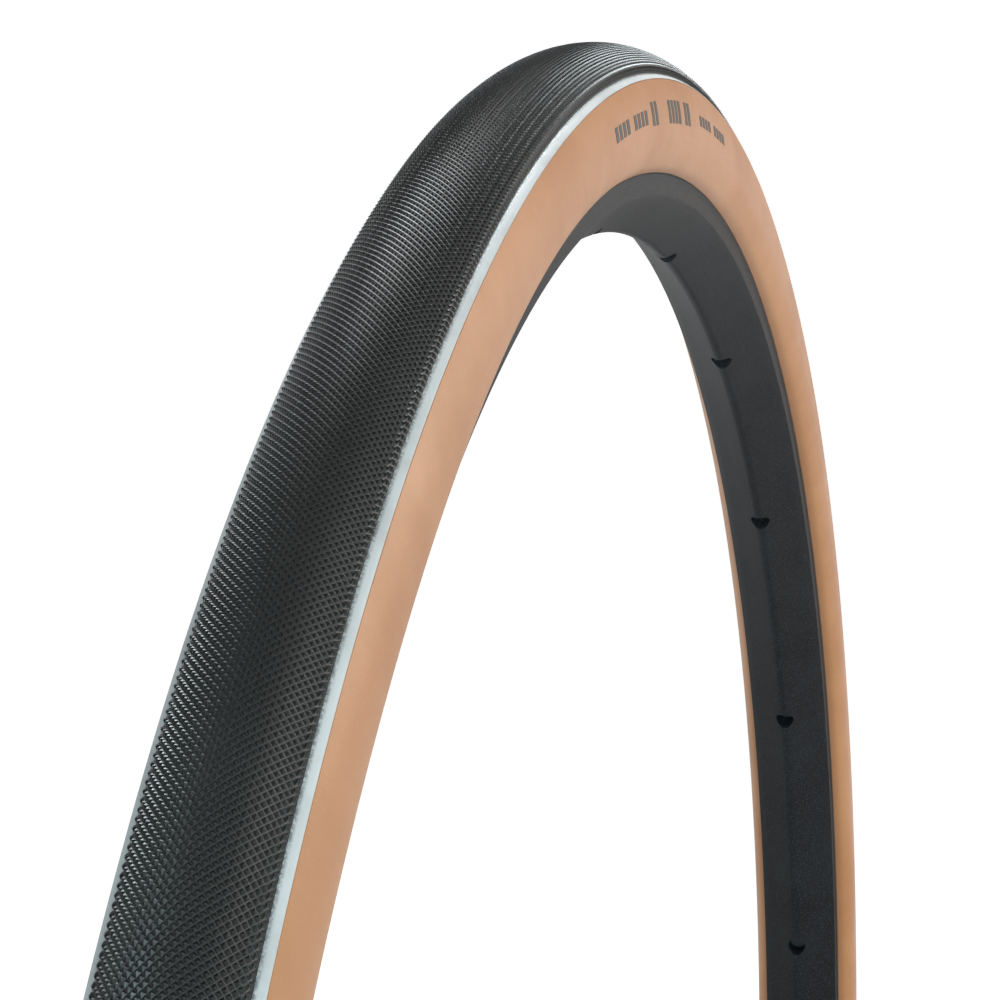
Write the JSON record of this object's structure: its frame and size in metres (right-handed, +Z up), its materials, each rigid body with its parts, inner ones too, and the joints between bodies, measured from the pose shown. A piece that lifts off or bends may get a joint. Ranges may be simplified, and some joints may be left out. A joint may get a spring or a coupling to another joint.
{
  "type": "bicycle tyre on rim",
  "caption": "Tan-wall road bicycle tyre with a fine diamond-knurl tread, seated on a bare dark rim with plain spoke holes, tubeless tape and valve.",
  "frame": {"origin": "centre of the wheel, on the axle line and in the rim's middle plane", "axes": "+Y along the axle line, +Z up, valve near the bottom of the wheel"},
  "size_m": [0.6822, 0.029, 0.6822],
  "materials": {
    "tread_rubber": "matt black rubber with a fine diamond knurl",
    "tan_rubber": "satin tan rubber",
    "pale_rubber": "satin pale grey rubber",
    "black_rubber": "matt black rubber",
    "casing_cloth": "rubberised ply cloth",
    "breaker_cloth": "woven aramid breaker",
    "bead_cord": "aramid cord",
    "print_film": "matt dark print film",
    "rim_alloy": "matt dark grey anodised aluminium",
    "tape_film": "smooth tape film",
    "valve_alloy": "satin black anodised aluminium",
    "valve_brass": "plated brass",
    "valve_steel": "bright steel",
    "cap_plastic": "matt black plastic"
  },
  "bodies": {
    "wheel": {"tread": "tread_rubber", "puncture_belt": "breaker_cloth", "casing": "casing_cloth", "inner_liner": "black_rubber", "edge_strip_left": "pale_rubber", "edge_strip_right": "pale_rubber", "sidewall_left": "tan_rubber", "sidewall_right": "tan_rubber", "sidewall_print_left": "print_film", "sidewall_print_right": "print_film", "bead_core_left": "bead_cord", "bead_core_right": "bead_cord", "chafer_left": "black_rubber", "chafer_right": "black_rubber", "rim": "rim_alloy", "rim_tape": "tape_film", "valve_stem": "valve_alloy", "valve_foot": "black_rubber", "valve_saddle": "black_rubber", "valve_o_ring": "black_rubber", "valve_core_body": "valve_brass", "valve_core_seal": "black_rubber"},
    "nut": {"lock_nut": "valve_alloy"},
    "pin": {"valve_pin": "valve_steel", "valve_pin_seal": "black_rubber"},
    "tip_nut": {"valve_tip_nut": "valve_brass"},
    "cap": {"valve_cap": "cap_plastic"}
  },
  "joints": [
    {"name": "lock_nut_travel", "type": "slide", "parent": "wheel", "child": "nut", "axis": [-0.108, 0, 0.9942], "range_m": [0, 0.013]},
    {"name": "valve_pin_press", "type": "slide", "parent": "wheel", "child": "pin", "axis": [0.108, 0, -0.9942], "range_m": [0, 0.0012]},
    {"name": "tip_nut_travel", "type": "slide", "parent": "pin", "child": "tip_nut", "axis": [-0.108, 0, 0.9942], "range_m": [-0.0011, 0]},
    {"name": "cap_travel", "type": "slide", "parent": "wheel", "child": "cap", "axis": [-0.108, 0, 0.9942], "range_m": [0, 0.018]}
  ]
}
